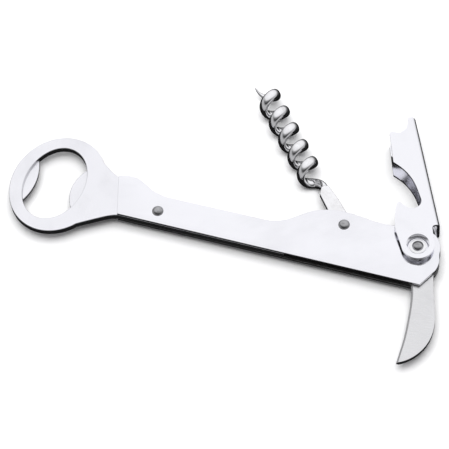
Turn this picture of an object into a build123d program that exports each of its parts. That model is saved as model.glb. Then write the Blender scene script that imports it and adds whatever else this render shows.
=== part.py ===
from build123d import *
import os
from math import atan2, cos, pi, radians, sin

# Lever corkscrew: a slim sandwich handle with a ring cap lifter at one end, and a worm, a
# foil knife and a channel-section bottle lever that fold on rivets at the other end.
#
# Everything is drawn about the main rivet: X runs along the handle towards its nose, Y towards
# the side on which the worm folds, and Z is normal to the handle, with 0 at its mid-plane.
# place_on_surface() then moves the whole tool so that Z = 0 is its lowest face.
# All sizes are in millimetres and all angles in degrees.

# Handle
HANDLE_LENGTH = 103.6      # main rivet to the square end of the side plates
HANDLE_BELOW = 13.7        # main rivet to the straight knife edge of the handle
END_LEAN = 4.2             # how far the end of the plates leans towards the ring at its top
WAIST_TOP = -2.8           # height of the trough in which the folded worm lies
PLATE_T = 1.0
CORE_T = 2.6               # thickness of the ring plate, and so of the gap between the plates
NOSE_R = 7.7               # nose of the handle about the main rivet
NOSE_FLANK = 8.4           # furthest reach of the nose, below its round part
CORNER_X = 4.2             # lower corner of the nose

# Rivets
RIVET_R = 1.4              # shank radius, the same in all three rivets
HEAD_R = 1.95
HEAD_RISE = 0.95
HINGE_CLEARANCE = 0.05     # radial running clearance of what turns on a rivet
FACE_CLEARANCE = 0.05      # gap beside a face that turns against another
WORM_PIVOT = (-26.6, 2.2)
TAIL_RIVET_INSET = 13.4    # tail rivet from the square end of the plates
TAIL_RIVET_RISE = 4.6      # tail rivet above the knife edge

# Ring cap lifter
HOLE_OUT = 25.4            # centre of the hole beyond the end of the plates
HOLE_Y = -7.0
HOLE_A = 10.7              # half width of the hole, along the handle
HOLE_B = 14.6              # half height of the hole, across the handle
HOLE_TILT = -5.4
RIM_FAR = 4.7              # width of the rim on the side away from the handle
RIM_NEAR = 7.1             # width of the rim on the side of the handle
RIM_SIDE = 4.6             # width of the rim above and below the hole
RIM_TILT = -6.8
LEDGE_T = 1.2              # thickness of the two thin ledges in the hole
LEDGE_FAR_REACH = 3.8      # ledge away from the handle, from the hole's wall to its crown
LEDGE_FAR_R = 18.8
LEDGE_NEAR_REACH = 4.7     # ledge on the side of the handle
LEDGE_NEAR_R = 13.1
NECK_TOP_DROP = 9.8        # from the ring to where the plates cover the neck's top edge
TAIL_END = -43.4           # end of the ring plate's tail, where the knife slot starts
TAIL_SLANT = 8.0

# Worm
WORM_ANGLE = 131.0         # direction of the worm at rest
WORM_OFFSET = 1.4          # helix axis beside the line through the worm pivot
WIRE_DEEP = 2.6            # the wire is oval: its size towards the helix axis
WIRE_BROAD = 3.9           # its size along the helix
HELIX_R = 3.4              # centre line of the wire about the helix axis
PITCH = 7.8
HELIX_START = 22.8         # along the worm, where the wire is behind the helix axis
HELIX_TURNS = 4.7
TIP_END = 66.0
TIP_R = 2.3                # distance of the point from the helix axis
TIP_TURN = 335.0           # where the point stands about the helix axis, 0 being its left
TIP_SIZE = 0.2             # how blunt the point is, as a share of the wire
SHANK_T = 2.3
SHANK_END = 17.8
SHANK_EYE_R = 3.2

# Foil knife
BLADE_T = 1.8
BLADE_REACH = 43.4         # main rivet to the knife's point
BLADE_BEVEL = 0.7          # width of the ground edge
BLADE_EDGE_DROP = 0.55     # how far each ground face falls towards the edge
TANG_R = 6.3
SHIM_R = 4.0

# Bottle lever: u runs along the lever from the main rivet, w from the rivet towards its web
LEVER_ANGLE = 115.55       # direction of the lever at rest
LEVER_LENGTH = 50.4
LEVER_WIDTH = 9.8          # outside width of the channel
SHEET_T = 1.0
BEND_R = 1.6               # outer bend radius of the channel
WEB_OUT = 8.8              # outer face of the web from the main rivet
WEB_END = 6.1              # where the web ends, clear of the handle's nose
LEVER_EYE_R = 5.6
DIMPLE_RIM_R = 3.9
DIMPLE_FLOOR_R = 3.2
DIMPLE_FLOOR_T = 0.6
WASHER_R = 2.9
WASHER_T = 0.3

HANDLE_HALF = CORE_T / 2 + PLATE_T
LEVER_HALF = LEVER_WIDTH / 2
HOLE_CENTRE = (-HANDLE_LENGTH - HOLE_OUT, HOLE_Y)
TAIL_RIVET = (-HANDLE_LENGTH + TAIL_RIVET_INSET, -HANDLE_BELOW + TAIL_RIVET_RISE)
HINGE_BORE_R = RIVET_R + HINGE_CLEARANCE
DIMPLE_UNDERSIDE = HANDLE_HALF + FACE_CLEARANCE
DIMPLE_FLOOR = DIMPLE_UNDERSIDE + DIMPLE_FLOOR_T
WASHER_LOW = DIMPLE_FLOOR + FACE_CLEARANCE
WASHER_HIGH = WASHER_LOW + WASHER_T


def slab(outline, low, high):
    """The closed outline, a list of edges, made solid between two heights."""
    return extrude(Plane.XY.offset(low) * make_face(Curve() + outline), high - low)


def drill(solid, centre, radius):
    """The solid with a hole right through it along Z."""
    return solid - Pos(centre[0], centre[1], 0) * Cylinder(radius, 60)


def disc(centre, radius, low, high):
    """A round plate between two heights."""
    return Pos(centre[0], centre[1], low) * extrude(Circle(radius), high - low)


def handle_outline():
    """Edges of the side plates, counter-clockwise from the lower end corner."""
    end_x = -HANDLE_LENGTH
    end_low = (end_x, -HANDLE_BELOW)
    end_high = (end_x - END_LEAN, 0.9)
    corner = (CORNER_X, -HANDLE_BELOW)
    shoulder = (NOSE_FLANK - 0.5, -0.53 * HANDLE_BELOW)
    flank = (NOSE_FLANK, -0.27 * HANDLE_BELOW)
    nose_start = (NOSE_R * cos(radians(-2)), NOSE_R * sin(radians(-2)))
    nose_mid = (NOSE_R * cos(radians(50)), NOSE_R * sin(radians(50)))
    nose_end = (NOSE_R * cos(radians(98)), NOSE_R * sin(radians(98)))
    saddle = (WORM_PIVOT[0] + 13.0, WORM_PIVOT[1] + 3.8)
    crown = (WORM_PIVOT[0] + 0.6, WORM_PIVOT[1] + 5.0)
    slope = (WORM_PIVOT[0] - 12.1, WORM_PIVOT[1] + 2.3)
    fall = (WORM_PIVOT[0] - 19.2, WORM_PIVOT[1] - 2.8)
    trough_near = (WORM_PIVOT[0] - 26.0, WAIST_TOP)
    trough_far = (end_x + 20.6, WAIST_TOP - 0.2)
    rise = (end_x + 9.0, WAIST_TOP + 1.2)
    hump = (end_x + 2.4, WAIST_TOP + 4.5)
    return [
        Line(end_low, corner),
        Line(corner, shoulder),
        Spline(shoulder, flank, nose_start, tangents=[(0.35, 1), (-0.1, 1)]),
        ThreePointArc(nose_start, nose_mid, nose_end),
        Spline(nose_end, saddle, crown, slope, fall, trough_near,
               tangents=[(-1, -0.14), (-1, 0)]),
        Line(trough_near, trough_far),
        Spline(trough_far, rise, hump, end_high, tangents=[(-1, 0), (-1, -0.35)]),
        Line(end_high, end_low),
    ]


def side_plate(low):
    """One side plate of the handle, with its three rivet holes."""
    plate = slab(handle_outline(), low, low + PLATE_T)
    for centre in ((0, 0), WORM_PIVOT, TAIL_RIVET):
        plate = drill(plate, centre, RIVET_R)
    return plate


def ring_opener():
    """The middle plate: ring cap lifter, neck, and the tail between the side plates."""
    hole_x, hole_y = HOLE_CENTRE
    rim_a = HOLE_A + (RIM_FAR + RIM_NEAR) / 2
    rim_b = HOLE_B + RIM_SIDE
    rim_x = hole_x + (RIM_NEAR - RIM_FAR) / 2
    rim_y = hole_y - 0.1
    end_x = -HANDLE_LENGTH
    top_root = (end_x - 3.2, 0.6)
    top_mid = (end_x - NECK_TOP_DROP, 4.2)
    top_ring = (rim_x + 0.46 * rim_a, rim_y + 0.86 * rim_b)
    low_root = (end_x, -HANDLE_BELOW)
    low_mid = (end_x - 6.2, -HANDLE_BELOW - 2.9)
    low_ring = (rim_x + 0.42 * rim_a, rim_y - 0.87 * rim_b)
    neck = make_face(Curve() + [
        Spline(top_root, top_mid, top_ring, tangents=[(-1, 0.33), (-0.74, 0.66)]),
        Line(top_ring, (rim_x, rim_y)),
        Line((rim_x, rim_y), low_ring),
        Spline(low_ring, low_mid, low_root, tangents=[(0.78, 0.62), (1, 0.25)]),
        Line(low_root, top_root),
    ])
    tail_cut = make_face(Polyline(
        (end_x - 3.2, -40), (TAIL_END, -40), (TAIL_END, -HANDLE_BELOW),
        (TAIL_END - TAIL_SLANT, WAIST_TOP + 8), (end_x - 3.2, 20), close=True))
    tail = make_face(Curve() + handle_outline()) & tail_cut
    rim = Pos(rim_x, rim_y) * Rot(0, 0, RIM_TILT) * Ellipse(rim_a, rim_b)
    hole = Pos(hole_x, hole_y) * Rot(0, 0, HOLE_TILT) * Ellipse(HOLE_A, HOLE_B)
    low = -CORE_T / 2
    plate = extrude(Plane.XY.offset(low) * (rim + neck + tail - hole), CORE_T)
    far_x = hole_x - HOLE_A + LEDGE_FAR_REACH - LEDGE_FAR_R
    near_x = hole_x + HOLE_A - LEDGE_NEAR_REACH + LEDGE_NEAR_R
    for ledge_x, radius in ((far_x, LEDGE_FAR_R), (near_x, LEDGE_NEAR_R)):
        ledge = hole & Pos(ledge_x, hole_y) * Circle(radius)
        plate = plate + extrude(Plane.XY.offset(low) * ledge, LEDGE_T)
    return drill(plate, TAIL_RIVET, RIVET_R)


def rivet(centre, seat):
    """A rivet along Z with a domed head on each side; seat is the height of the heads' faces."""
    crown_r = (HEAD_R ** 2 + HEAD_RISE ** 2) / (2 * HEAD_RISE)
    lean = atan2(HEAD_R, crown_r - HEAD_RISE) / 2
    mid = (crown_r * sin(lean), seat + HEAD_RISE - crown_r * (1 - cos(lean)))
    profile = Plane.XZ * make_face(Curve() + [
        Line((0, 0), (RIVET_R, 0)),
        Line((RIVET_R, 0), (RIVET_R, seat)),
        Line((RIVET_R, seat), (HEAD_R, seat)),
        ThreePointArc((HEAD_R, seat), mid, (0, seat + HEAD_RISE)),
        Line((0, seat + HEAD_RISE), (0, 0)),
    ])
    half = revolve(profile, Axis.Z)
    return Pos(centre[0], centre[1], 0) * (half + mirror(half, Plane.XY))


def wire_section(along, turn, size=1.0, radius=HELIX_R):
    """The wire's oval section: height along the worm, turn in degrees from its left side."""
    outward = Vector(0, cos(radians(turn)), sin(radians(turn)))
    heading = Vector(PITCH / 2 / pi, -HELIX_R * sin(radians(turn)), HELIX_R * cos(radians(turn)))
    centre = Vector(along, WORM_OFFSET, 0) + outward * radius
    section = Plane(centre, x_dir=outward, z_dir=heading)
    return section * Ellipse(size * WIRE_DEEP / 2, size * WIRE_BROAD / 2)


def worm():
    """Oval wire worm with a pointed tip, and the flat shank that turns between the plates."""
    eye = SHANK_EYE_R
    half = SHANK_T / 2
    shank = slab([
        ThreePointArc((0, eye), (-eye, 0), (0, -eye)),
        Line((0, -eye), (SHANK_END - 7.0, -2.9)),
        Line((SHANK_END - 7.0, -2.9), (SHANK_END - 1.2, -2.2)),
        ThreePointArc((SHANK_END - 1.2, -2.2), (SHANK_END, -0.9), (SHANK_END - 0.2, 0.4)),
        Line((SHANK_END - 0.2, 0.4), (SHANK_END - 2.4, 2.0)),
        Line((SHANK_END - 2.4, 2.0), (0.45 * SHANK_END, 2.2)),
        Line((0.45 * SHANK_END, 2.2), (0, eye)),
    ], -half, half)
    shank = drill(shank, (0, 0), HINGE_BORE_R)

    first_turn, last_turn = -90.0, -90.0 + 360.0 * HELIX_TURNS
    helix = Helix(PITCH, HELIX_TURNS * PITCH, HELIX_R)
    frame = Plane(origin=(HELIX_START, WORM_OFFSET, 0), x_dir=(0, 0, -1), z_dir=(1, 0, 0))
    coil = sweep(wire_section(HELIX_START, first_turn), path=frame.location * helix,
                 is_frenet=True)

    # The wire leaves the shank flat and sinks behind the helix axis, into the coil's start.
    overlap = 8.0
    root = Plane((SHANK_END - 2.6, -0.9, 0), x_dir=(0, 0, -1), z_dir=(1, 0.1, -0.05))
    knee = Plane((SHANK_END + 1.3, -0.75, -1.3), x_dir=(0.3, -0.1, -1), z_dir=(0.75, 0.45, -0.45))
    lead = loft([
        root * Ellipse(SHANK_T / 2 - 0.02, 1.3),
        knee * Ellipse(WIRE_DEEP / 2, 1.65),
        wire_section(HELIX_START + PITCH * overlap / 360, first_turn + overlap, 0.99),
    ])

    # Past the last turn the wire narrows to a point on the left of the helix.
    end_along = HELIX_START + HELIX_TURNS * PITCH
    spread = TIP_TURN - last_turn % 360.0
    tip_sections = []
    for share in (0.0, 0.3, 0.62, 1.0):
        size = 1.0 - (1.0 - TIP_SIZE) * share ** 1.1
        along = end_along + (TIP_END - end_along) * (0.45 * share + 0.55 * share ** 2)
        radius = HELIX_R + (TIP_R - HELIX_R) * share
        turn = last_turn + spread * share ** 0.8
        tip_sections.append(wire_section(along, turn, size, radius))
    point = loft(tip_sections)
    return Pos(*WORM_PIVOT) * Rot(0, 0, WORM_ANGLE) * (shank + coil + lead + point)


def knife_blade():
    """Foil knife with a hollow-curved edge, a full belly at the back and a ground edge."""
    reach = BLADE_REACH
    half = BLADE_T / 2
    point = (3.9, -reach)
    heel = (0.9, -0.30 * reach)
    tang_left = (-TANG_R, 0)
    tang_right = (TANG_R, 0)
    outline = [
        ThreePointArc(tang_left, (0, TANG_R), tang_right),
        Spline(tang_right, (9.7, -0.365 * reach), (12.8, -0.69 * reach), (9.3, -0.905 * reach),
               point, tangents=[(0.1, -1), (-1, -0.36)]),
        Spline(point, (4.0, -0.80 * reach), (3.5, -0.62 * reach), heel,
               tangents=[(-0.02, 1), (-0.4, 1)]),
        Line(heel, (-2.0, -0.27 * reach)),
        Line((-2.0, -0.27 * reach), tang_left),
    ]
    blade = slab(outline, -half, half)
    ground = [e for e in blade.edges() if abs(abs(e.center().Z) - half) < 0.01
              and e.geom_type == GeomType.BSPLINE and e.center().X < 4.5]
    blade = chamfer(ground, BLADE_EDGE_DROP, BLADE_BEVEL)
    return drill(blade, (0, 0), HINGE_BORE_R)


def washer(radius, low, high):
    """A washer on the main rivet, between two heights."""
    return drill(disc((0, 0), radius, low, high), (0, 0), RIVET_R)


def lever_arm_outline():
    """Edges of one arm of the lever in (w, u): eye, hook, cap-lifter throat and stepped end."""
    top = LEVER_LENGTH
    right = WEB_OUT
    eye = LEVER_EYE_R
    notch = WEB_END
    return [
        ThreePointArc((-eye, 0), (0, -eye), (eye, 0.9)),
        Line((eye, 0.9), (eye + 0.4, notch - 1.1)),
        ThreePointArc((eye + 0.4, notch - 1.1), (eye + 0.7, notch - 0.3), (eye + 1.4, notch)),
        Line((eye + 1.4, notch), (right, notch)),
        Line((right, notch), (right, top - 1.0)),
        ThreePointArc((right, top - 1.0), (right - 1.2, top - 0.1), (right - 2.6, top - 0.3)),
        Line((right - 2.6, top - 0.3), (5.0, top - 4.3)),
        Line((5.0, top - 4.3), (2.5, top - 5.8)),
        Line((2.5, top - 5.8), (-0.5, top - 4.7)),
        ThreePointArc((-0.5, top - 4.7), (-1.1, top - 5.0), (-1.3, top - 5.8)),
        Line((-1.3, top - 5.8), (-2.1, 33.4)),
        Spline((-2.1, 33.4), (0.3, 30.6), (3.2, 24.8), (4.4, 17.6),
               tangents=[(0.75, -0.8), (0.12, -1)]),
        ThreePointArc((4.4, 17.6), (3.6, 14.9), (0.9, 14.1)),
        Spline((0.9, 14.1), (-1.7, 15.7), (-2.9, 17.4), tangents=[(-1, 0.15), (-0.45, 1)]),
        Spline((-2.9, 17.4), (-4.6, 15.5), (-6.3, 8.6), (-eye, 0),
               tangents=[(-0.9, -0.1), (0.08, -1)]),
    ]


def bottle_lever():
    """Channel-section lever with dimpled eyes, a hooked throat and a stepped end."""
    face = make_face(Curve() + lever_arm_outline())
    inner_half = LEVER_HALF - SHEET_T
    block = extrude(Plane.XY.offset(-LEVER_HALF) * face, LEVER_WIDTH)
    bends = [e for e in block.edges().filter_by(GeomType.LINE)
             if abs(e.center().X - WEB_OUT) < 0.01 and e.length > 0.7 * LEVER_LENGTH]
    block = fillet(bends, BEND_R)
    room_w = 4 * WEB_OUT
    room = Pos(WEB_OUT - SHEET_T - room_w / 2, 0, 0) * Box(
        room_w, 4 * LEVER_LENGTH, 2 * inner_half)
    room_edges = [e for e in room.edges().filter_by(Axis.Y) if e.center().X > 0]
    channel = block - fillet(room_edges, BEND_R - SHEET_T)
    cup = Plane.XZ * make_face(Polyline(
        (HINGE_BORE_R, DIMPLE_UNDERSIDE), (DIMPLE_FLOOR_R + 0.3, DIMPLE_UNDERSIDE),
        (DIMPLE_RIM_R + 0.5, inner_half), (DIMPLE_RIM_R + 0.5, LEVER_HALF),
        (DIMPLE_RIM_R, LEVER_HALF), (DIMPLE_FLOOR_R, DIMPLE_FLOOR),
        (HINGE_BORE_R, DIMPLE_FLOOR), close=True))
    cup = revolve(cup, Axis.Z)
    channel = drill(channel, (0, 0), DIMPLE_RIM_R + 0.3)
    channel = channel + cup + mirror(cup, Plane.XY)
    return Rot(0, 0, LEVER_ANGLE - 90) * channel


def place_on_surface(nodes):
    """Move every node so that the tool stands on Z = 0 with its box centred on X and Y."""
    box = Compound(children=[s for part in nodes.values() for s in part.solids()]).bounding_box()
    shift = Vector(-box.center().X, -box.center().Y, -box.min.Z)
    print("main rivet axis at", [round(v, 4) for v in tuple(shift)])
    worm_at = shift + Vector(*WORM_PIVOT)
    print("worm rivet axis at", [round(v, 4) for v in tuple(worm_at)])
    print("box size", [round(v, 3) for v in tuple(box.size)])
    return {name: Pos(*tuple(shift)) * part for name, part in nodes.items()}


def main():
    blade_half = BLADE_T / 2 + FACE_CLEARANCE
    core_half = CORE_T / 2
    nodes = {
        "front_side_plate": side_plate(core_half),
        "rear_side_plate": side_plate(-core_half - PLATE_T),
        "ring_opener": ring_opener(),
        "tail_rivet": rivet(TAIL_RIVET, HANDLE_HALF),
        "worm_rivet": rivet(WORM_PIVOT, HANDLE_HALF),
        "main_rivet": rivet((0, 0), WASHER_HIGH),
        "front_pivot_washer": washer(WASHER_R, WASHER_LOW, WASHER_HIGH),
        "rear_pivot_washer": washer(WASHER_R, -WASHER_HIGH, -WASHER_LOW),
        "front_blade_shim": washer(SHIM_R, blade_half, core_half),
        "rear_blade_shim": washer(SHIM_R, -core_half, -blade_half),
        "worm": worm(),
        "knife_blade": knife_blade(),
        "bottle_lever": bottle_lever(),
    }
    os.makedirs("parts", exist_ok=True)
    for name, part in place_on_surface(nodes).items():
        export_step(part, "parts/" + name + ".step")


main()
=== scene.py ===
"""Lever corkscrew: a sandwich handle of polished plates with a ring cap lifter, and a worm,
a foil knife and a pressed bottle lever that fold on rivets.

Lengths in the classes are millimetres in the model's own frame, and become metres when a
mesh is made. X runs along the handle towards its nose, Z is normal to the side plates.
"""
import logging
import math
from dataclasses import dataclass
from enum import Enum

import bmesh
import bpy
import numpy as np
from mathutils import Matrix, Vector
from mathutils.geometry import delaunay_2d_cdt


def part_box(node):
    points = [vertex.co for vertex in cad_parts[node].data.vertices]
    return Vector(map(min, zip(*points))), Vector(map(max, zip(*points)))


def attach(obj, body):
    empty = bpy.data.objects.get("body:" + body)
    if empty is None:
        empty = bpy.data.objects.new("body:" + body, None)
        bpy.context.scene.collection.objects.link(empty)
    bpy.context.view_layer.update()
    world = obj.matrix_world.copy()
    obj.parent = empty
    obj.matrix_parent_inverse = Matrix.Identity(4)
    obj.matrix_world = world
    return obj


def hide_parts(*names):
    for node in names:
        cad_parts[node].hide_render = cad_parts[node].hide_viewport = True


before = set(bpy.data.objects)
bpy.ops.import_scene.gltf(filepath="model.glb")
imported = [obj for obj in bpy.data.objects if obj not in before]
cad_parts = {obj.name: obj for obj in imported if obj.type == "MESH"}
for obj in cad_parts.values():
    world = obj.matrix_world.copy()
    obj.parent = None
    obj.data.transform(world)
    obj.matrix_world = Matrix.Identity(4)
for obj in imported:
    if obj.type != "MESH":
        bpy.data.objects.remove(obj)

LOG = logging.getLogger("corkscrew")
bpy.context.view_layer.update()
MM = 0.001
MAIN_AXIS = np.sum(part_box("main_rivet"), axis=0) / 2 / MM    # the middle of the main rivet
WORM_PIVOT = (-26.6, 2.2)              # worm rivet from the main rivet
TAIL_RIVET = (-90.2, -9.1)             # tail rivet from the main rivet
FULL_TURN = 2 * math.pi
ROUND = 96                             # points round a turned piece
MERGE = 1e-7                           # points nearer than this, in metres, are one
CAD_MERGE = 2e-6
FLAT_ANGLE = 0.3                       # degrees within which CAD faces are one flat face
TINY = 1e-4                            # shortest side of an outline, in millimetres


class Body(Enum):
    """The moving bodies of the tool."""

    HANDLE = "handle"
    WORM = "worm"
    KNIFE = "knife"
    LEVER = "lever"


class Slot(Enum):
    """The record's material slots."""

    PLATE = "plate_steel"
    RING = "ring_steel"
    LEVER = "lever_steel"
    WORM = "worm_steel"
    BLADE = "blade_steel"
    RIVET = "rivet_steel"
    WASHER = "washer_steel"


# ---------------------------------------------------------------- curves


def three_point_arc(start: tuple, middle: tuple, end: tuple, count: int = 24) -> np.ndarray:
    """Points on the circle through three points, from the first to the last.

    The centre solves the two equations that make it equally far from all three; the points
    are then centre + radius (cos a, sin a) with the angle a evenly spaced.

    Args:
        start, middle, end: points (x, y).
        count: number of points.

    Returns:
        Array of shape (count, 2).
    """
    a, b, c = (np.array(p, float) for p in (start, middle, end))
    lhs = 2 * np.array([b - a, c - a])
    centre = np.linalg.solve(lhs, np.array([b @ b - a @ a, c @ c - a @ a]))
    radius = np.linalg.norm(a - centre)
    angle = [math.atan2(*(p - centre)[::-1]) for p in (a, b, c)]
    span = (angle[2] - angle[0]) % FULL_TURN
    if (angle[1] - angle[0]) % FULL_TURN > span:
        span -= FULL_TURN
    t = angle[0] + np.linspace(0, span, count)
    return centre + radius * np.stack([np.cos(t), np.sin(t)], axis=1)


def through_points(points: list, first: tuple, last: tuple, count: int = 80) -> np.ndarray:
    """A smooth cubic through points, with given directions at its ends.

    The parameter is the running chord length. The slopes at the inner points solve the
    tridiagonal equations that keep the curvature continuous, and each span is then the
    Hermite cubic of its two ends and slopes.

    Args:
        points: points of any dimension.
        first, last: end directions, taken at unit speed.
        count: number of points.

    Returns:
        Array of shape (count, dimension).
    """
    p = np.array(points, float)
    h = np.linalg.norm(np.diff(p, axis=0), axis=1)
    knots = np.concatenate([[0.0], np.cumsum(h)])
    n = len(p)
    matrix = np.eye(n)
    inner = np.arange(1, n - 1)
    matrix[inner, inner - 1] = h[1:]
    matrix[inner, inner] = 2 * (h[1:] + h[:-1])
    matrix[inner, inner + 1] = h[:-1]
    rhs = np.zeros_like(p)
    rhs[0] = np.array(first, float) / np.linalg.norm(first)
    rhs[-1] = np.array(last, float) / np.linalg.norm(last)
    step = np.diff(p, axis=0) / h[:, None]
    rhs[1:-1] = 3 * (h[1:, None] * step[:-1] + h[:-1, None] * step[1:])
    slope = np.linalg.solve(matrix, rhs)
    t = np.linspace(0, knots[-1], count)
    span = np.clip(np.searchsorted(knots, t, side="right") - 1, 0, n - 2)
    width = h[span][:, None]
    s = (t - knots[span])[:, None] / width
    to_end = 3 * s ** 2 - 2 * s ** 3
    leaving = (s ** 3 - 2 * s ** 2 + s) * width * slope[span]
    arriving = (s ** 3 - s ** 2) * width * slope[span + 1]
    return (1 - to_end) * p[span] + to_end * p[span + 1] + leaving + arriving


def closed_loop(*runs: np.ndarray) -> np.ndarray:
    """Runs of points joined end to end into one closed loop, without its doubles.

    Args:
        runs: arrays or lists of points (x, y), in order round the loop.

    Returns:
        Array of shape (n, 2).
    """
    points = np.concatenate([np.asarray(r, float) for r in runs])
    gap = np.linalg.norm(points - np.roll(points, 1, axis=0), axis=1)
    return points[gap > TINY]


def circle(centre: tuple, radius: float, count: int = 64) -> np.ndarray:
    """A closed round loop: centre + radius (cos a, sin a)."""
    t = np.arange(count) * FULL_TURN / count
    return np.array(centre) + radius * np.stack([np.cos(t), np.sin(t)], axis=1)


# ---------------------------------------------------------------- meshes


def finish_object(made: bmesh.types.BMesh, mesh: bpy.types.Mesh,
                  sharp: float) -> bpy.types.Object:
    """Write an edited mesh back and show it, smooth but for its sharp edges.

    Args:
        made: the edited copy, which is freed.
        mesh: the mesh it goes into, which gives the object its name.
        sharp: angle in degrees past which an edge stays sharp.

    Returns:
        The new object, linked to the scene.
    """
    made.to_mesh(mesh)
    made.free()
    mesh.shade_smooth()
    mesh.set_sharp_from_angle(angle=math.radians(sharp))
    piece = bpy.data.objects.new(mesh.name, mesh)
    bpy.context.scene.collection.objects.link(piece)
    return piece


def make_object(name: str, verts: np.ndarray, faces: list,
                sharp: float = 35.0) -> bpy.types.Object:
    """A mesh object at the origin, smooth but for edges sharper than an angle.

    Args:
        name: piece name.
        verts: array (n, 3) in millimetres about the main rivet.
        faces: lists or arrays of vertex numbers.
        sharp: angle in degrees past which an edge stays sharp.

    Returns:
        The new object, linked to the scene.
    """
    mesh = bpy.data.meshes.new(name)
    points = (verts + MAIN_AXIS) * MM
    mesh.from_pydata(points.tolist(), [], [list(f) for f in faces])
    made = bmesh.new()
    made.from_mesh(mesh)
    bmesh.ops.remove_doubles(made, verts=made.verts, dist=MERGE)
    bmesh.ops.recalc_face_normals(made, faces=made.faces)
    return finish_object(made, mesh, sharp)


def grid_faces(rows: int, columns: int, start: int = 0) -> np.ndarray:
    """Quads between neighbouring closed rings of a grid of points.

    Args:
        rows: number of rings.
        columns: points in a ring, the last next to the first.
        start: number of the grid's first point.

    Returns:
        Array of shape ((rows - 1) * columns, 4).
    """
    ring, at = np.meshgrid(np.arange(rows - 1), np.arange(columns), indexing="ij")
    beside = (at + 1) % columns
    quads = np.stack([ring * columns + at, ring * columns + beside,
                      (ring + 1) * columns + beside, (ring + 1) * columns + at], axis=-1)
    return quads.reshape(-1, 4) + start


def inset(loop: np.ndarray, distance: float) -> np.ndarray:
    """The loop moved to the left of its own direction by a distance.

    Each point moves along the mitre of its two sides, the sum of their unit normals divided
    by one plus their cosine.

    Args:
        loop: closed loop of points, shape (n, 2).
        distance: how far it moves.

    Returns:
        Array of shape (n, 2).
    """
    side = np.roll(loop, -1, axis=0) - loop
    side /= np.linalg.norm(side, axis=1)[:, None]
    normal = np.stack([-side[:, 1], side[:, 0]], axis=1)
    before = np.roll(normal, 1, axis=0)
    cosine = np.clip((normal * before).sum(axis=1), -0.5, 1.0)
    return loop + distance * (normal + before) / (1 + cosine)[:, None]


def inside(points: np.ndarray, loops: list) -> np.ndarray:
    """Which points lie inside loops, by counting crossings of a line to the right.

    Args:
        points: points to test, shape (n, 2).
        loops: closed loops; a point inside a hole's loop too counts as outside.

    Returns:
        Array of n truth values.
    """
    hits = np.zeros(len(points), int)
    x, y = points[:, :1], points[:, 1:]
    for loop in loops:
        ax, ay = loop[:, 0], loop[:, 1]
        bx, by = np.roll(ax, -1), np.roll(ay, -1)
        rise = np.where(by == ay, 1e-12, by - ay)
        crosses = ((ay > y) != (by > y)) & (x < (bx - ax) * (y - ay) / rise + ax)
        hits += crosses.sum(axis=1)
    return hits % 2 == 1


def stamped(loops: list, low: float, high: float, round_off: float = 0.14) -> tuple:
    """A flat stamping with softened edges, as points and faces.

    Each loop is carried through an edge profile: in from the lower face along a quarter
    circle, up the wall, and back in along another quarter circle. The two flat faces are
    the plane regions between the innermost loops.

    Args:
        loops: outer loop counter-clockwise, then holes clockwise, in millimetres.
        low, high: heights of the two faces.
        round_off: radius of the softened edges.

    Returns:
        (points (n, 3), list of faces).
    """
    a = np.linspace(0, math.pi / 2, 5)
    move = round_off * np.concatenate([1 - np.sin(a), 1 - np.cos(a)])
    rise = np.concatenate([low + round_off * (1 - np.cos(a)),
                           high - round_off * (1 - np.sin(a))])
    verts, faces, flats, total = [], [], [], 0
    for loop in loops:
        rings = [np.column_stack([inset(loop, in_by), np.full(len(loop), height)])
                 for in_by, height in zip(move, rise)]
        verts.append(np.concatenate(rings))
        faces.extend(grid_faces(len(rings), len(loop), total).tolist())
        flats.append((rings[0][:, :2], total, total + (len(rings) - 1) * len(loop)))
        total += len(rings) * len(loop)
    plane = np.concatenate([f[0] for f in flats])
    bottom = np.concatenate([f[1] + np.arange(len(f[0])) for f in flats])
    top = np.concatenate([f[2] + np.arange(len(f[0])) for f in flats])
    starts = np.cumsum([0] + [len(f[0]) for f in flats])
    edges = [(s + i, s + (i + 1) % n) for s, n in zip(starts, np.diff(starts)) for i in range(n)]
    found = delaunay_2d_cdt([Vector(p) for p in plane], edges, [], 0, 1e-6)
    back = np.array([o[0] if o else -1 for o in found[3]])
    flat_points = np.array([tuple(v) for v in found[0]])
    corners = np.array([tuple(t) for t in found[2]])
    keep = inside(flat_points[corners].mean(axis=1), [f[0] for f in flats])
    corners = back[corners[keep]]
    faces += top[corners].tolist() + bottom[corners][:, ::-1].tolist()
    return np.concatenate(verts), faces


def lathe(profile: np.ndarray, centre: tuple, count: int = ROUND) -> tuple:
    """A profile (radius, height) turned about an upright axis.

    A point of the surface is (r cos a, r sin a, h): a row of the grid for each profile
    point, a column for each angle. A profile that starts and ends off the axis is closed.

    Args:
        profile: points (radius, height).
        centre: where the axis stands (x, y).
        count: points round the axis.

    Returns:
        (points (n, 3), array of quads).
    """
    a = np.arange(count) * FULL_TURN / count
    r, h = profile[:, :1], profile[:, 1:]
    grid = np.stack([centre[0] + r * np.cos(a), centre[1] + r * np.sin(a), h + 0 * a], axis=-1)
    return grid.reshape(-1, 3), grid_faces(len(profile), count)


def joined(*solids: tuple) -> tuple:
    """Several shells as one.

    Args:
        solids: shells, each (points, faces).

    Returns:
        (points (n, 3), list of faces).
    """
    verts, faces, total = [], [], 0
    for points, quads in solids:
        verts.append(points)
        faces += [[i + total for i in f] for f in quads]
        total += len(points)
    return np.concatenate(verts), faces


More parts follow.
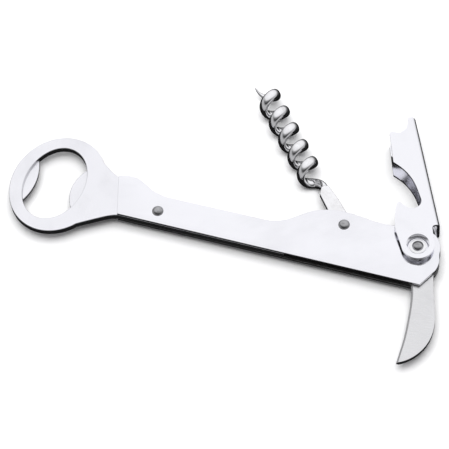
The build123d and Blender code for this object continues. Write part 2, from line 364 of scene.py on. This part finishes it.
def softened_copy(node: str, name: str, radius: float, sharp: float = 30.0) -> bpy.types.Object:
    """A merged copy of a CAD node with a small radius along its hard edges.

    The flat faces are first dissolved to single faces, so that the Bevel modifier meets
    only real edges.

    Args:
        node: CAD node.
        name: piece name.
        radius: width of the softened edge in millimetres.
        sharp: angle in degrees from which an edge counts as hard.

    Returns:
        The new object, with its Bevel modifier.
    """
    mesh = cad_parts[node].data.copy()
    mesh.name = name
    mesh.materials.clear()
    made = bmesh.new()
    made.from_mesh(mesh)
    bmesh.ops.remove_doubles(made, verts=made.verts, dist=CAD_MERGE)
    bmesh.ops.dissolve_limit(made, angle_limit=math.radians(FLAT_ANGLE), verts=made.verts,
                             edges=made.edges, delimit=set())
    piece = finish_object(made, mesh, sharp)
    bevel = piece.modifiers.new("softened edges", "BEVEL")
    bevel.width = radius * MM
    bevel.segments = 3
    bevel.limit_method = "ANGLE"
    bevel.angle_limit = math.radians(sharp)
    bevel.harden_normals = True
    bevel.use_clamp_overlap = True
    return piece


# ---------------------------------------------------------------- finishes


@dataclass(frozen=True)
class Steel:
    """A steel finish: drawn lines, faint scratches and cloudy tint over a metal.

    Roughness is the mean plus the lines plus the cloud; the lines are noise stretched along
    one direction of the piece, and the scratches are the thin bright ridges of two more
    stretched noises that lie across each other.
    """

    name: str
    tint: tuple                      # colour of the clean metal
    dull: tuple                      # colour where it is stained or worn
    roughness: float
    spread: float = 0.06             # how much the lines change the roughness
    lines_per_mm: float = 9.0
    line_length: float = 14.0        # how much longer than wide a drawn line is
    direction: float = 0.0           # heading of the drawn lines in degrees
    line_depth: float = 0.04
    scratches: float = 0.25
    mottle_per_mm: float = 0.06
    mottle: float = 0.5              # how strong the cloudy stain is
    pits: float = 0.0                # depth of a hammered grain
    stain_roughness: float = 0.12    # how much a stain or scratch adds to the roughness
    bump_distance: float = 0.02      # height of the bump in millimetres

    def stretched(self, tree: bpy.types.NodeTree, heading: float, fine: float,
                  longer: float) -> bpy.types.NodeSocket:
        """Noise stretched along a heading in the plane of the plates.

        Args:
            tree: the material's nodes.
            heading: direction of the long axis in degrees.
            fine: noise scale across the stretch, per millimetre.
            longer: how much longer than wide its features are.

        Returns:
            The noise's value, about 0 to 1.
        """
        where = tree.nodes.new("ShaderNodeTexCoord")
        turn = tree.nodes.new("ShaderNodeMapping")
        turn.vector_type = "TEXTURE"
        turn.inputs["Rotation"].default_value = (0.0, 0.0, math.radians(heading))
        turn.inputs["Scale"].default_value = (longer, 1.0, 1.0)
        noise = tree.nodes.new("ShaderNodeTexNoise")
        noise.inputs["Scale"].default_value = fine / MM
        noise.inputs["Detail"].default_value = 3.0
        noise.inputs["Roughness"].default_value = 0.62
        tree.links.new(where.outputs["Object"], turn.inputs["Vector"])
        tree.links.new(turn.outputs["Vector"], noise.inputs["Vector"])
        return noise.outputs["Fac"]

    def ramp(self, tree: bpy.types.NodeTree, value: bpy.types.NodeSocket, low: float,
             high: float, out_low: float = 0.0, out_high: float = 1.0) -> bpy.types.NodeSocket:
        """A value spread smoothly from one range to another, and clamped.

        Args:
            tree: the material's nodes.
            value: what is spread.
            low, high: the range it comes from.
            out_low, out_high: the range it goes to.

        Returns:
            The new value.
        """
        node = tree.nodes.new("ShaderNodeMapRange")
        node.interpolation_type = "SMOOTHSTEP"
        node.inputs["From Min"].default_value = low
        node.inputs["From Max"].default_value = high
        node.inputs["To Min"].default_value = out_low
        node.inputs["To Max"].default_value = out_high
        tree.links.new(value, node.inputs["Value"])
        return node.outputs["Result"]

    def maths(self, tree: bpy.types.NodeTree, what: str, a: bpy.types.NodeSocket,
              b: "bpy.types.NodeSocket | float") -> bpy.types.NodeSocket:
        """One arithmetic step.

        Args:
            tree: the material's nodes.
            what: the Math node's operation.
            a: first value.
            b: second value, a socket or a number.

        Returns:
            The result.
        """
        node = tree.nodes.new("ShaderNodeMath")
        node.operation = what
        tree.links.new(a, node.inputs[0])
        if isinstance(b, (int, float)):
            node.inputs[1].default_value = b
        else:
            tree.links.new(b, node.inputs[1])
        return node.outputs[0]

    def scratch_marks(self, tree: bpy.types.NodeTree) -> bpy.types.NodeSocket:
        """Faint scratches in two directions, from the thin ridges of two stretched noises."""
        cross = self.ramp(tree, self.stretched(tree, self.direction + 17.0, 1.7, 26.0), 0.66, 0.72)
        other = self.ramp(tree, self.stretched(tree, self.direction - 41.0, 1.3, 22.0), 0.67, 0.72)
        both = self.maths(tree, "MAXIMUM", cross, other)
        return self.maths(tree, "MULTIPLY", both, self.scratches)

    def build(self) -> bpy.types.Material:
        """The finish as a material, made once and then shared."""
        if self.name in bpy.data.materials:
            return bpy.data.materials[self.name]
        material = bpy.data.materials.new(self.name)
        material.use_nodes = True
        tree = material.node_tree
        tree.nodes.clear()
        lines = self.stretched(tree, self.direction, self.lines_per_mm, self.line_length)
        scratch = self.scratch_marks(tree)
        out = tree.nodes.new("ShaderNodeOutputMaterial")
        shader = tree.nodes.new("ShaderNodeBsdfPrincipled")
        shader.inputs["Metallic"].default_value = 1.0
        tree.links.new(shader.outputs["BSDF"], out.inputs["Surface"])
        cloud = self.stretched(tree, self.direction + 30.0, self.mottle_per_mm, 1.6)
        stain = self.ramp(tree, cloud, 0.42, 0.72, 0.0, self.mottle)
        mark = self.maths(tree, "MAXIMUM", stain, scratch)
        mix = tree.nodes.new("ShaderNodeMix")
        mix.data_type = "RGBA"
        mix.inputs["A"].default_value = (*self.tint, 1.0)
        mix.inputs["B"].default_value = (*self.dull, 1.0)
        tree.links.new(mark, mix.inputs["Factor"])
        tree.links.new(mix.outputs["Result"], shader.inputs["Base Color"])
        rough = self.ramp(tree, lines, 0.3, 0.7, self.roughness - self.spread,
                          self.roughness + self.spread)
        rough = self.maths(tree, "ADD", rough,
                           self.maths(tree, "MULTIPLY", mark, self.stain_roughness))
        tree.links.new(rough, shader.inputs["Roughness"])
        height = self.maths(tree, "SUBTRACT", lines, scratch)
        if self.pits:
            grain = self.ramp(tree, self.stretched(tree, 0.0, 2.6, 1.0), 0.35, 0.65)
            height = self.maths(tree, "ADD", height,
                                self.maths(tree, "MULTIPLY", grain, self.pits))
        bump = tree.nodes.new("ShaderNodeBump")
        bump.inputs["Strength"].default_value = self.line_depth
        bump.inputs["Distance"].default_value = self.bump_distance * MM
        tree.links.new(height, bump.inputs["Height"])
        tree.links.new(bump.outputs["Normal"], shader.inputs["Normal"])
        return material


POLISHED_PLATE = Steel("polished plate", (0.90, 0.90, 0.93), (0.80, 0.80, 0.83), 0.09, 0.035)
POLISHED_LEVER = Steel("polished lever", (0.90, 0.90, 0.93), (0.80, 0.80, 0.83), 0.08, 0.03,
                       direction=115.5)
# Painted shade: the plates' inner faces are dark so the gap between the plates looks shaded; the
# roughness stands for an unpolished face.
SHADED_INSIDE = Steel("unpolished inside with painted shade", (0.26, 0.26, 0.26), (0.12, 0.11, 0.11), 0.42, 0.08,
                    line_depth=0.2, mottle=0.9, mottle_per_mm=0.2)
TUMBLED_RING = Steel("tumbled ring", (0.88, 0.88, 0.91), (0.74, 0.74, 0.77), 0.2,
                     direction=80.0, line_length=5.0, scratches=0.35)
PLATED_WIRE = Steel("plated wire", (0.93, 0.93, 0.94), (0.72, 0.71, 0.71), 0.07, 0.03,
                    direction=131.0, line_length=6.0, line_depth=0.06, mottle=0.5,
                    mottle_per_mm=0.25)
SATIN_BLADE = Steel("satin blade", (0.76, 0.76, 0.765), (0.68, 0.68, 0.69), 0.30, 0.08,
                    direction=5.0, line_length=40.0, line_depth=0.12)
DARK_RIVET = Steel("dark rivet", (0.44, 0.44, 0.45), (0.20, 0.20, 0.20), 0.17, 0.05,
                   line_length=2.0, line_depth=0.25, mottle=0.7, mottle_per_mm=0.6, pits=0.6)
BRIGHT_WASHER = Steel("bright washer", (0.90, 0.90, 0.91), (0.72, 0.72, 0.73), 0.15,
                      line_length=3.0, mottle_per_mm=0.3)


def settle(piece: bpy.types.Object, finish: Steel, body: Body, slot: Slot,
           *nodes: str) -> bpy.types.Object:
    """Dress a piece, tie it to its body and hide the CAD nodes it stands for.

    Args:
        piece: the finished mesh object.
        finish: its steel.
        body: the moving body it rides on.
        slot: the record's material slot; not used.
        nodes: CAD nodes that it replaces.

    Returns:
        The same piece.
    """
    piece.data.materials.clear()
    piece.data.materials.append(finish.build())
    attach(piece, body.value)
    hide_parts(*nodes)
    LOG.info("%s: %d faces", piece.name, len(piece.data.polygons))
    return piece


# ---------------------------------------------------------------- sub-assemblies


@dataclass
class Handle:
    """Two polished side plates over the ring plate, held by three rivets."""

    length: float = 103.6
    below: float = 13.7
    end_lean: float = 4.2
    waist_top: float = -2.8
    nose_r: float = 7.7
    nose_flank: float = 8.4
    corner_x: float = 4.2
    core_half: float = 1.3
    plate_t: float = 1.0
    shank_r: float = 1.4
    head_r: float = 1.95
    head_rise: float = 0.95
    washer_r: float = 2.9
    washer_low: float = 3.0
    washer_high: float = 3.3
    shim_r: float = 4.0
    shim_low: float = 0.95
    ring_softening: float = 0.25
    washer_softening: float = 0.07
    rim_rise: float = 0.12          # upright part of a rivet head below its dome
    painted_shade_reach: float = 0.1       # how far round the inner edge the inside's painted shade goes

    def plate_outline(self) -> np.ndarray:
        """The side plate's edge: straight below, a round nose, and a wavy top."""
        px, py = WORM_PIVOT
        end = -self.length
        nose = self.nose_r * np.exp(1j * np.radians([-2.0, 50.0, 98.0]))
        start, mid, stop = [(p.real, p.imag) for p in nose]
        flank = (self.nose_flank, -0.27 * self.below)
        shoulder = (self.nose_flank - 0.5, -0.53 * self.below)
        near = (px - 26.0, self.waist_top)
        far = (end + 20.6, self.waist_top - 0.2)
        return closed_loop(
            [(end, -self.below), (self.corner_x, -self.below)],
            through_points([shoulder, flank, start], (0.35, 1), (-0.1, 1), 16),
            three_point_arc(start, mid, stop, 40),
            through_points([stop, (px + 13.0, py + 3.8), (px + 0.6, py + 5.0),
                            (px - 12.1, py + 2.3), (px - 19.2, py - 2.8), near],
                           (-1, -0.14), (-1, 0), 110),
            through_points([far, (end + 9.0, self.waist_top + 1.2),
                            (end + 2.4, self.waist_top + 4.5), (end - self.end_lean, 0.9)],
                           (-1, 0), (-1, -0.35), 50))

    def side_plates(self) -> None:
        """Front and rear side plates, each with its three rivet holes."""
        outline = self.plate_outline()
        holes = [circle(c, self.shank_r)[::-1] for c in ((0, 0), WORM_PIVOT, TAIL_RIVET)]
        for node, low in (("front_side_plate", self.core_half),
                          ("rear_side_plate", -self.core_half - self.plate_t)):
            shell = stamped([outline, *holes], low, low + self.plate_t)
            made = make_object("polished_" + node, *shell)
            settle(made, POLISHED_PLATE, Body.HANDLE, Slot.PLATE, node)
            # The second material is painted shade on the inner faces.
            made.data.materials.append(SHADED_INSIDE.build())
            self.paint_inside_shade(made)

    def paint_inside_shade(self, plate: bpy.types.Object) -> None:
        """Give a plate's inner faces, level with the core's, the second finish: painted shade.

        Args:
            plate: a side plate that has both materials.
        """
        mesh = plate.data
        middle = np.zeros(len(mesh.polygons) * 3)
        mesh.polygons.foreach_get("center", middle)
        depth = np.abs(middle[2::3] / MM - MAIN_AXIS[2])
        inner = (depth < self.core_half + self.painted_shade_reach).astype(np.int32)
        mesh.polygons.foreach_set("material_index", inner)

    def ring(self) -> None:
        """The ring plate, with the cap lifter's stepped hole."""
        made = softened_copy("ring_opener", "tumbled_ring_opener", self.ring_softening)
        settle(made, TUMBLED_RING, Body.HANDLE, Slot.RING, "ring_opener")

    def rivet(self, node: str, centre: tuple, seat: float) -> None:
        """One rivet: a shank with a low dome at each end.

        The dome is the part of a sphere whose height is head_rise over the head's radius,
        with a short upright rim; the profile is mirrored for the other end.

        Args:
            node: CAD node that it replaces.
            centre: its axis (x, y) from the main rivet.
            seat: height of the face that its heads bear on.
        """
        ball = (self.head_r ** 2 + self.head_rise ** 2) / (2 * self.head_rise)
        lean = math.atan2(self.head_r, ball - self.head_rise)
        a = np.linspace(lean, 1e-3, 18)
        squeeze = (self.head_rise - self.rim_rise) / self.head_rise
        swell = ball * np.cos(a) - ball + self.head_rise
        dome = np.column_stack([ball * np.sin(a), seat + self.rim_rise + squeeze * swell])
        below = [(self.shank_r, 0), (self.shank_r, seat), (self.head_r - 0.03, seat),
                 (self.head_r, seat + 0.05)]
        upper = np.concatenate([below, dome])
        profile = np.concatenate([upper[::-1], upper[1:] * (1, -1)])
        verts, faces = lathe(profile, centre)
        ends = [list(range(ROUND)), list(range(len(verts) - ROUND, len(verts)))]
        made = make_object("dark_" + node, verts, faces.tolist() + ends)
        settle(made, DARK_RIVET, Body.HANDLE, Slot.RIVET, node)

    def washers(self) -> None:
        """The two turned washers and the two blade shims on the main rivet."""
        spans = {"front_pivot_washer": (self.washer_r, self.washer_low, self.washer_high),
                 "rear_pivot_washer": (self.washer_r, -self.washer_high, -self.washer_low),
                 "front_blade_shim": (self.shim_r, self.shim_low, self.core_half),
                 "rear_blade_shim": (self.shim_r, -self.core_half, -self.shim_low)}
        soft = self.washer_softening
        for node, (radius, low, high) in spans.items():
            profile = np.array([(self.shank_r, low), (radius - soft, low),
                                (radius - 0.3 * soft, low + 0.3 * soft), (radius, low + soft),
                                (radius, high - soft), (radius - 0.3 * soft, high - 0.3 * soft),
                                (radius - soft, high), (self.shank_r, high),
                                (self.shank_r, low)])
            made = make_object("turned_" + node, *lathe(profile, (0, 0)))
            settle(made, BRIGHT_WASHER, Body.HANDLE, Slot.WASHER, node)

    def build(self) -> None:
        """Every piece of the handle."""
        self.side_plates()
        self.ring()
        handle_half = self.core_half + self.plate_t
        self.rivet("tail_rivet", TAIL_RIVET, handle_half)
        self.rivet("worm_rivet", WORM_PIVOT, handle_half)
        self.rivet("main_rivet", (0, 0), self.washer_high)
        self.washers()


@dataclass
class Worm:
    """The oval wire worm and the flat shank that turns between the side plates."""

    angle: float = 131.0
    offset: float = 1.4
    deep: float = 2.6
    broad: float = 3.9
    helix_r: float = 3.4
    pitch: float = 7.8
    start: float = 22.8
    turns: float = 4.7
    tip_end: float = 66.0
    tip_r: float = 2.3
    tip_turn: float = 335.0
    tip_size: float = 0.2
    shank_half: float = 1.15
    shank_end: float = 17.8
    eye_r: float = 3.2
    bore_r: float = 1.45
    shank_softening: float = 0.3
    wire_points: int = 40           # points round the wire
    lead_count: int = 40            # sections of the lead, the coil and the point
    coil_count: int = 420
    tip_count: int = 109

    def sections(self, along: np.ndarray, turn: np.ndarray, size: np.ndarray,
                 radius: np.ndarray) -> tuple:
        """Centres and half-axes of the wire's oval sections.

        With the turn t about the helix axis, the centre is (along, offset + r cos t,
        r sin t), the deep axis points away from the helix axis, and the broad axis is the
        wire's heading crossed with it.

        Args:
            along: distance of each section along the worm.
            turn: its turn about the helix axis, in degrees.
            size: its size as a share of the full wire.
            radius: its distance from the helix axis.

        Returns:
            (centres, deep half-axes, broad half-axes), each of shape (n, 3).
        """
        t = np.radians(turn)
        out = np.stack([0 * t, np.cos(t), np.sin(t)], axis=1)
        heading = np.stack([0 * t + self.pitch / FULL_TURN, -self.helix_r * np.sin(t),
                            self.helix_r * np.cos(t)], axis=1)
        across = np.cross(heading, out)
        across /= np.linalg.norm(across, axis=1)[:, None]
        centre = np.stack([along, 0 * t + self.offset, 0 * t], axis=1) + out * radius[:, None]
        half = (size / 2)[:, None]
        return centre, out * half * self.deep, across * half * self.broad

    def oval(self, centre: tuple, heading: tuple, deep: tuple, half: tuple) -> tuple:
        """One oval section given by its heading and roughly by its deep axis.

        The deep axis is made square to the heading by taking away its part along it, and
        the broad axis is the heading crossed with it.

        Args:
            centre: middle of the section (x, y, z).
            heading: direction of the wire there.
            deep: rough direction of the deep axis.
            half: half sizes (deep, broad).

        Returns:
            (centre, deep half-axis, broad half-axis), each of shape (3,).
        """
        ahead = np.array(heading) / np.linalg.norm(heading)
        side = np.array(deep) - (np.array(deep) @ ahead) * ahead
        side /= np.linalg.norm(side)
        return np.array(centre), half[0] * side, half[1] * np.cross(ahead, side)

    def wire(self) -> tuple:
        """The wire as one tube: lead, coil and point.

        Every point is centre + deep cos a + broad sin a, a ring for each section and a
        column for each angle; the lead's sections lie on smooth cubics from the shank
        through the knee to the coil.

        Returns:
            (points (n, 3), list of faces).
        """
        count = self.wire_points
        coil_t = np.linspace(8.0, 360.0 * self.turns, self.coil_count)
        coil = self.sections(self.start + self.pitch * coil_t / 360, coil_t - 90.0,
                             np.ones(self.coil_count), np.full(self.coil_count, self.helix_r))
        s = np.linspace(0, 1, self.tip_count + 1)[1:]
        last = 360.0 * self.turns - 90.0
        spread = self.tip_turn - last % 360.0
        end = self.start + self.turns * self.pitch
        tip = self.sections(
            end + (self.tip_end - end) * (0.45 * s + 0.55 * s ** 2),
            last + spread * s ** 0.8,
            1 - (1 - self.tip_size) * s ** 1.1,
            self.helix_r + (self.tip_r - self.helix_r) * s)
        root = self.oval((self.shank_end - 2.6, -0.9, 0.0), (1.0, 0.1, 0.0), (0.0, 0.0, -1.0),
                         (1.08, 1.3))
        knee = self.oval((self.shank_end + 1.3, -0.75, -1.3), (0.75, 0.45, -0.45),
                         (0.3, -0.1, -1.0), (self.deep / 2, 1.65))
        heading = coil[0][1] - coil[0][0]
        lead = [through_points([root[0], knee[0], coil[0][0]], (1, 0.1, -0.1), heading,
                               self.lead_count)]
        for k in (1, 2):
            bend = [root[k], knee[k], coil[k][0]]
            lead.append(through_points(bend, bend[1] - bend[0], bend[2] - bend[1],
                                       self.lead_count))
        runs = [np.concatenate([lead[k][:-1], coil[k], tip[k]]) for k in range(3)]
        a = np.arange(count) * FULL_TURN / count
        grid = (runs[0][:, None] + runs[1][:, None] * np.cos(a)[None, :, None]
                + runs[2][:, None] * np.sin(a)[None, :, None])
        verts = grid.reshape(-1, 3)
        faces = grid_faces(len(runs[0]), count).tolist()
        point = runs[0][-1] + 0.3 * (runs[0][-1] - runs[0][-3])
        verts = np.vstack([verts, point])
        low = len(verts) - 1 - count
        faces += [[low + i, low + (i + 1) % count, len(verts) - 1] for i in range(count)]
        return verts, faces + [list(range(count))]

    def shank(self) -> tuple:
        """The flat shank: a round eye, two slack sides and a rounded end.

        Returns:
            (points (n, 3), list of faces).
        """
        eye, end = self.eye_r, self.shank_end
        outline = closed_loop(
            three_point_arc((0, eye), (-eye, 0), (0, -eye), 48),
            [(end - 7.0, -2.9)],
            three_point_arc((end - 1.2, -2.2), (end, -0.9), (end - 0.2, 0.4), 14),
            [(end - 2.4, 2.0), (0.45 * end, 2.2)])
        hole = circle((0, 0), self.bore_r)[::-1]
        return stamped([outline, hole], -self.shank_half, self.shank_half,
                       self.shank_softening)

    def build(self) -> None:
        """The worm, turned to its rest direction on its rivet."""
        verts, faces = joined(self.shank(), self.wire())
        a = math.radians(self.angle)
        x, y, z = verts.T
        turned = np.column_stack([x * math.cos(a) - y * math.sin(a),
                                  x * math.sin(a) + y * math.cos(a), z])
        made = make_object("plated_worm", turned + np.array((*WORM_PIVOT, 0.0)), faces)
        settle(made, PLATED_WIRE, Body.WORM, Slot.WORM, "worm")


@dataclass
class Knife:
    """The foil knife, ground along its hollow edge."""

    softening: float = 0.06
    hard_angle: float = 14.0        # the ground edge's arris is this blunt

    def build(self) -> None:
        """The blade with its arrises just broken."""
        made = softened_copy("knife_blade", "satin_knife_blade", self.softening,
                             self.hard_angle)
        settle(made, SATIN_BLADE, Body.KNIFE, Slot.BLADE, "knife_blade")


@dataclass
class BottleLever:
    """The channel-section lever, pressed from sheet with rounded-over edges."""

    softening: float = 0.16

    def build(self) -> None:
        """The lever with every sheared edge softened."""
        made = softened_copy("bottle_lever", "polished_bottle_lever", self.softening)
        settle(made, POLISHED_LEVER, Body.LEVER, Slot.LEVER, "bottle_lever")


@dataclass
class Studio:
    """Pale floor, soft light from above and behind, and the camera.

    The world's brightness is the greater of two: one by the angle from bright_side, and one
    by height, which is the band above the horizon.
    """

    target: tuple = (-0.99, -10.44, 4.9)
    camera_at: tuple = (158.3, -382.4, 705.1)
    camera_up: tuple = (-0.223, 0.839, 0.496)
    lens: float = 188.0
    sensor: float = 36.0
    floor_size: float = 6000.0
    floor_white: float = 0.97
    lamp_height: float = 1200.0
    lamp_size: float = 900.0
    lamp_power: float = 11.0
    sky_strength: float = 0.685
    blue: float = 1.02              # how much bluer than grey the sky is
    bright_side: tuple = (-0.10, 0.64, 0.76)
    box_stops: tuple = ((0.0, 0.015), (0.42, 0.02), (0.60, 0.05), (0.72, 0.32), (0.82, 1.2),
                        (1.0, 1.5))
    band_stops: tuple = ((0.0, 0.0), (0.49, 0.0), (0.53, 0.7), (0.73, 0.7), (0.84, 0.1),
                         (0.91, 0.0))

    def floor(self) -> None:
        """A wide pale floor that reflections don't see."""
        half = self.floor_size * MM / 2
        mesh = bpy.data.meshes.new("floor")
        corners = [(-half, -half, 0), (half, -half, 0), (half, half, 0), (-half, half, 0)]
        mesh.from_pydata(corners, [], [(0, 1, 2, 3)])
        floor = bpy.data.objects.new("floor", mesh)
        bpy.context.scene.collection.objects.link(floor)
        material = bpy.data.materials.new("pale floor")
        material.use_nodes = True
        shader = material.node_tree.nodes["Principled BSDF"]
        shader.inputs["Base Color"].default_value = (*[self.floor_white] * 3, 1.0)
        shader.inputs["Roughness"].default_value = 0.9
        shader.inputs["Specular IOR Level"].default_value = 0.1
        mesh.materials.append(material)
        floor.visible_glossy = False

    def shade(self, tree: bpy.types.NodeTree, share: bpy.types.NodeSocket,
              stops: tuple) -> bpy.types.NodeSocket:
        """Brightness from a value between -1 and 1, by (place, brightness) stops.

        Args:
            tree: the world's nodes.
            share: the value, which is first halved and lifted to lie between 0 and 1.
            stops: places from 0 to 1, in order, and the brightness at each.

        Returns:
            The colour at that value.
        """
        lift = tree.nodes.new("ShaderNodeMath")
        lift.operation = "MULTIPLY_ADD"
        lift.inputs[1].default_value = 0.5
        lift.inputs[2].default_value = 0.5
        ramp = tree.nodes.new("ShaderNodeValToRGB")
        ramp.color_ramp.elements.remove(ramp.color_ramp.elements[1])
        for at, value in stops:
            first = ramp.color_ramp.elements[0]
            stop = first if at == 0 else ramp.color_ramp.elements.new(at)
            stop.position = at
            stop.color = (value, value, self.blue * value, 1.0)
        tree.links.new(share, lift.inputs[0])
        tree.links.new(lift.outputs[0], ramp.inputs["Fac"])
        return ramp.outputs["Color"]

    def sky(self) -> None:
        """A world that brightens towards its bright side, with a pale band above the horizon."""
        world = bpy.data.worlds.new("soft box sky")
        world.use_nodes = True
        tree = world.node_tree
        where = tree.nodes.new("ShaderNodeTexCoord")
        towards = tree.nodes.new("ShaderNodeVectorMath")
        towards.operation = "DOT_PRODUCT"
        towards.inputs[1].default_value = self.bright_side
        height = tree.nodes.new("ShaderNodeSeparateXYZ")
        both = tree.nodes.new("ShaderNodeMix")
        both.data_type = "RGBA"
        both.blend_type = "LIGHTEN"
        both.inputs["Factor"].default_value = 1.0
        tree.links.new(where.outputs["Generated"], towards.inputs[0])
        tree.links.new(where.outputs["Generated"], height.inputs[0])
        tree.links.new(self.shade(tree, towards.outputs["Value"], self.box_stops), both.inputs["A"])
        tree.links.new(self.shade(tree, height.outputs["Z"], self.band_stops), both.inputs["B"])
        background = tree.nodes["Background"]
        background.inputs["Strength"].default_value = self.sky_strength
        tree.links.new(both.outputs["Result"], background.inputs["Color"])
        bpy.context.scene.world = world
        bpy.context.scene.view_settings.view_transform = "Standard"

    def lamp(self) -> None:
        """A square soft lamp straight above, which reflections don't see."""
        light = bpy.data.lights.new("overhead_fill", "AREA")
        light.shape = "SQUARE"
        light.size = self.lamp_size * MM
        light.energy = self.lamp_power
        lamp = bpy.data.objects.new(light.name, light)
        lamp.location = (0.0, 0.0, self.lamp_height * MM)
        lamp.visible_glossy = False
        bpy.context.scene.collection.objects.link(lamp)

    def camera(self) -> None:
        """The camera, level with its own up direction."""
        back = (Vector(self.camera_at) - Vector(self.target)).normalized()
        right = Vector(self.camera_up).cross(back).normalized()
        up = back.cross(right)
        data = bpy.data.cameras.new("camera")
        data.lens = self.lens
        data.sensor_width = self.sensor
        data.clip_start = 0.05
        camera = bpy.data.objects.new("camera", data)
        camera.matrix_world = (Matrix.Translation(Vector(self.camera_at) * MM)
                               @ Matrix((right, up, back)).transposed().to_4x4())
        bpy.context.scene.collection.objects.link(camera)
        bpy.context.scene.camera = camera

    def build(self) -> None:
        """Floor, sky, lamp and camera."""
        self.floor()
        self.sky()
        self.lamp()
        self.camera()


def main() -> None:
    """Build every sub-assembly in order, then the studio."""
    logging.basicConfig(level=logging.INFO, format="%(name)s %(message)s")
    for maker in (Handle(), Worm(), Knife(), BottleLever(), Studio()):
        maker.build()
        LOG.info("built %s", type(maker).__name__)
    bpy.context.view_layer.update()


if __name__ == "__main__":
    main()
